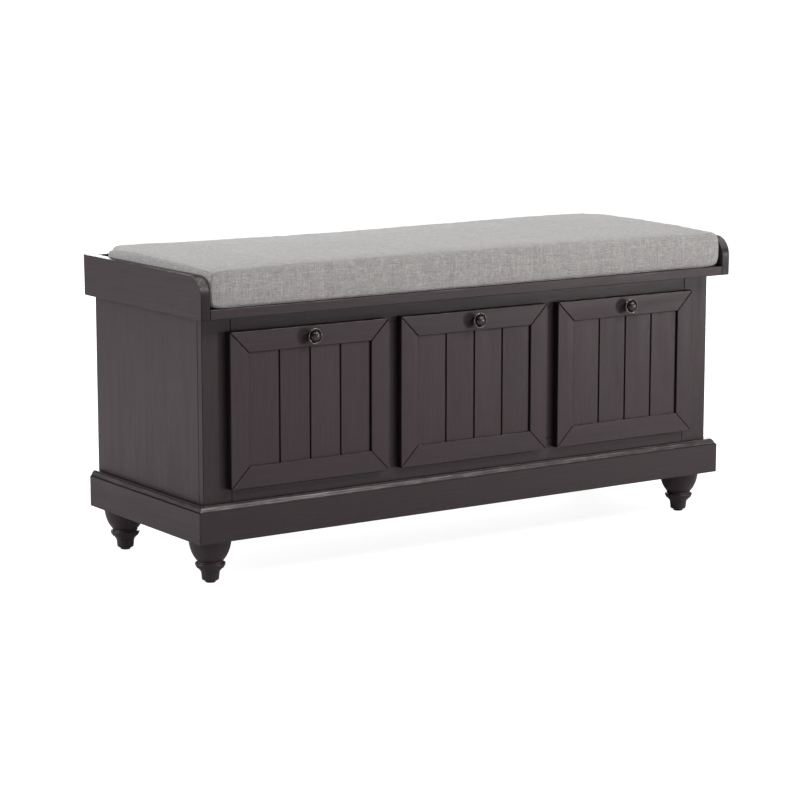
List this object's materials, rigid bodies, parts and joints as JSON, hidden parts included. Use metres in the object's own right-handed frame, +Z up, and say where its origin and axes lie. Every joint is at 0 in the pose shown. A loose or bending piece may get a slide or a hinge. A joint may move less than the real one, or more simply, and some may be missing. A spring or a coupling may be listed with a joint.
{
  "type": "storage bench",
  "caption": "Low entryway storage bench with drop-front plank doors, a moulded plinth on turned feet, and a shallow seat tray that holds a fabric box cushion.",
  "frame": {"origin": "on the floor, under the middle of the bench", "axes": "+X along the bench's length, +Y from its front to its back, +Z up"},
  "size_m": [1.118, 0.405, 0.5299],
  "materials": {
    "espresso_wood": "dark espresso stain, satin lacquer",
    "raw_wood": "unfinished softwood",
    "grey_linen": "slubby grey linen weave",
    "aged_pewter": "dark burnished cast metal",
    "hinge_steel": "plated steel",
    "catch_plastic": "moulded",
    "glide_plastic": "moulded"
  },
  "bodies": {
    "carcass": {"back_panel": "espresso_wood", "divider_left": "espresso_wood", "divider_right": "espresso_wood", "end_panel_left": "espresso_wood", "end_panel_right": "espresso_wood", "foot_back_left": "espresso_wood", "foot_back_right": "espresso_wood", "foot_cleat_left": "raw_wood", "foot_cleat_right": "raw_wood", "foot_front_left": "espresso_wood", "foot_front_right": "espresso_wood", "frame_bottom_rail": "espresso_wood", "frame_mid_stile_left": "espresso_wood", "frame_mid_stile_right": "espresso_wood", "frame_stile_left": "espresso_wood", "frame_stile_right": "espresso_wood", "frame_top_rail": "espresso_wood", "glide_back_left": "glide_plastic", "glide_back_right": "glide_plastic", "glide_front_left": "glide_plastic", "glide_front_right": "glide_plastic", "hinge_left_frame_leaf": "hinge_steel", "hinge_middle_frame_leaf": "hinge_steel", "hinge_right_frame_leaf": "hinge_steel", "magnet_catch_left": "catch_plastic", "magnet_catch_middle": "catch_plastic", "magnet_catch_right": "catch_plastic", "plinth_front": "espresso_wood", "plinth_left": "espresso_wood", "plinth_right": "espresso_wood", "seat_board": "espresso_wood", "seat_cushion": "grey_linen", "storage_floor": "espresso_wood", "tray_back_board": "espresso_wood", "tray_side_left": "espresso_wood", "tray_side_right": "espresso_wood"},
    "door_left": {"door_left_bottom_rail": "espresso_wood", "door_left_left_stile": "espresso_wood", "door_left_panel": "espresso_wood", "door_left_right_stile": "espresso_wood", "door_left_top_rail": "espresso_wood", "hinge_left_door_leaf": "hinge_steel", "knob_left": "aged_pewter", "strike_plate_left": "hinge_steel"},
    "door_middle": {"door_middle_bottom_rail": "espresso_wood", "door_middle_left_stile": "espresso_wood", "door_middle_panel": "espresso_wood", "door_middle_right_stile": "espresso_wood", "door_middle_top_rail": "espresso_wood", "hinge_middle_door_leaf": "hinge_steel", "knob_middle": "aged_pewter", "strike_plate_middle": "hinge_steel"},
    "door_right": {"door_right_bottom_rail": "espresso_wood", "door_right_left_stile": "espresso_wood", "door_right_panel": "espresso_wood", "door_right_right_stile": "espresso_wood", "door_right_top_rail": "espresso_wood", "hinge_right_door_leaf": "hinge_steel", "knob_right": "aged_pewter", "strike_plate_right": "hinge_steel"}
  },
  "joints": [
    {"name": "door_left_hinge", "type": "hinge", "parent": "carcass", "child": "door_left", "pos_m": [-0.3368, -0.16575, 0.1593], "axis": [1, 0, 0], "range_deg": [0, 90]},
    {"name": "door_middle_hinge", "type": "hinge", "parent": "carcass", "child": "door_middle", "pos_m": [0, -0.16575, 0.1593], "axis": [1, 0, 0], "range_deg": [0, 90]},
    {"name": "door_right_hinge", "type": "hinge", "parent": "carcass", "child": "door_right", "pos_m": [0.3368, -0.16575, 0.1593], "axis": [1, 0, 0], "range_deg": [0, 90]}
  ]
}
